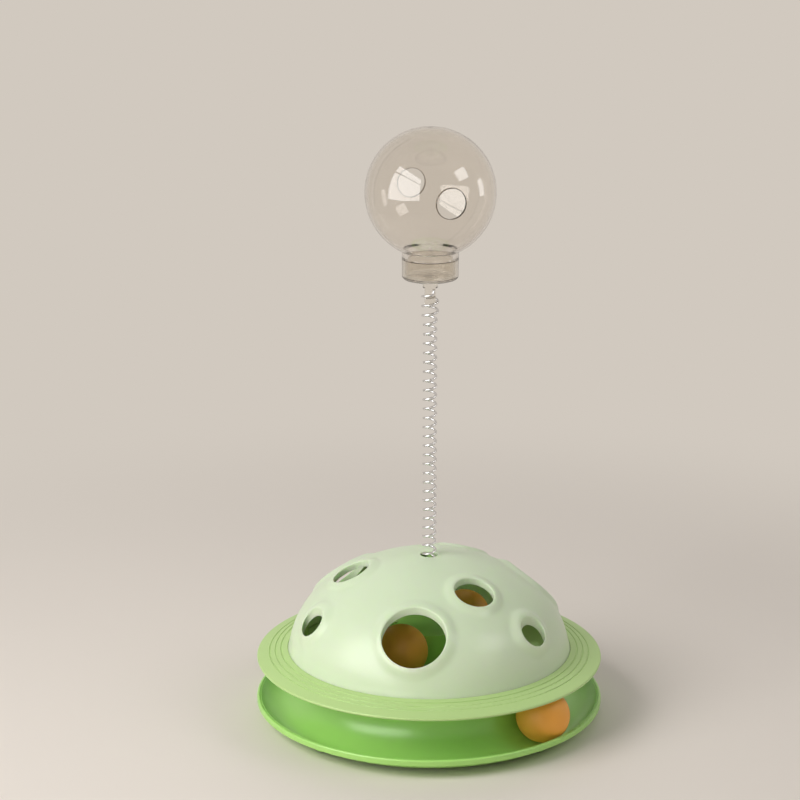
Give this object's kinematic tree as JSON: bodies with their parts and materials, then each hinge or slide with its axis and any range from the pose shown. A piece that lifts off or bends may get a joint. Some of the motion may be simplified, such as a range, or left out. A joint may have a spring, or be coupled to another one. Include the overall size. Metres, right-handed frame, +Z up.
{
  "type": "cat treat dispenser toy",
  "caption": "saucer-shaped cat toy with a ball track, a cratered dome holding balls, and a clear treat globe with drop holes swaying on a wire spring mast",
  "frame": {"origin": "on the table, under the middle of the round tray, level with the undersides of the rubber feet", "axes": "+Z up along the mast; -Y is the side with the largest hole, which faces the viewer; +X to the viewer's right"},
  "size_m": [0.24, 0.24, 0.4103],
  "materials": {
    "tray": "satin green moulded plastic",
    "brim": "satin light green moulded plastic",
    "dome": "satin pale green moulded plastic",
    "holder": "satin green moulded plastic",
    "pads": "soft dark rubber",
    "screws": "zinc-plated steel",
    "spring_wire": "bright drawn spring wire",
    "clear_cap": "clear polished plastic",
    "clear_globe": "clear polished plastic",
    "balls": "matte orange moulded plastic"
  },
  "bodies": {
    "base": {"base_tray": "tray", "anti_slip_pad_1": "pads", "anti_slip_pad_2": "pads", "anti_slip_pad_3": "pads", "anti_slip_pad_4": "pads", "brim_ring": "brim", "brim_screws": "screws"},
    "dome": {"dome": "dome", "spring_holder": "holder", "holder_screws": "screws"},
    "mast": {"mast_spring": "spring_wire"},
    "cap": {"globe_cap": "clear_cap"},
    "globe": {"treat_globe": "clear_globe"},
    "track_ball": {"track_ball": "balls"},
    "deck_ball_1": {"deck_ball_1": "balls"},
    "deck_ball_2": {"deck_ball_2": "balls"}
  },
  "joints": [
    {"name": "dome_twist", "type": "hinge", "parent": "base", "child": "dome", "pos_m": [0, 0, 0.0432], "axis": [0, 0, 1], "range_deg": [0, 16]},
    {"name": "mast_sway_side", "type": "hinge", "parent": "dome", "child": "mast", "pos_m": [0, 0, 0.161], "axis": [0, 1, 0], "range_deg": [-45, 45], "stiffness_Nm_per_rad": 0.35, "deforming": ["mast_spring"]},
    {"name": "mast_sway_front", "type": "hinge", "parent": "mast", "child": "cap", "pos_m": [0, 0, 0.255], "axis": [1, 0, 0], "range_deg": [-45, 45], "stiffness_Nm_per_rad": 0.25, "deforming": ["mast_spring"]},
    {"name": "globe_lift", "type": "slide", "parent": "cap", "child": "globe", "axis": [0, 0, 1], "range_m": [0, 0.025]},
    {"name": "track_ball_orbit", "type": "hinge", "parent": "base", "child": "track_ball", "pos_m": [0, 0, 0.02295], "axis": [0, 0, 1], "continuous": true},
    {"name": "deck_ball_1_orbit", "type": "hinge", "parent": "base", "child": "deck_ball_1", "pos_m": [0, 0, 0.05755], "axis": [0, 0, 1], "range_deg": [-55, 55]},
    {"name": "deck_ball_2_orbit", "type": "hinge", "parent": "base", "child": "deck_ball_2", "pos_m": [0, 0, 0.05755], "axis": [0, 0, 1], "range_deg": [-55, 55]}
  ]
}
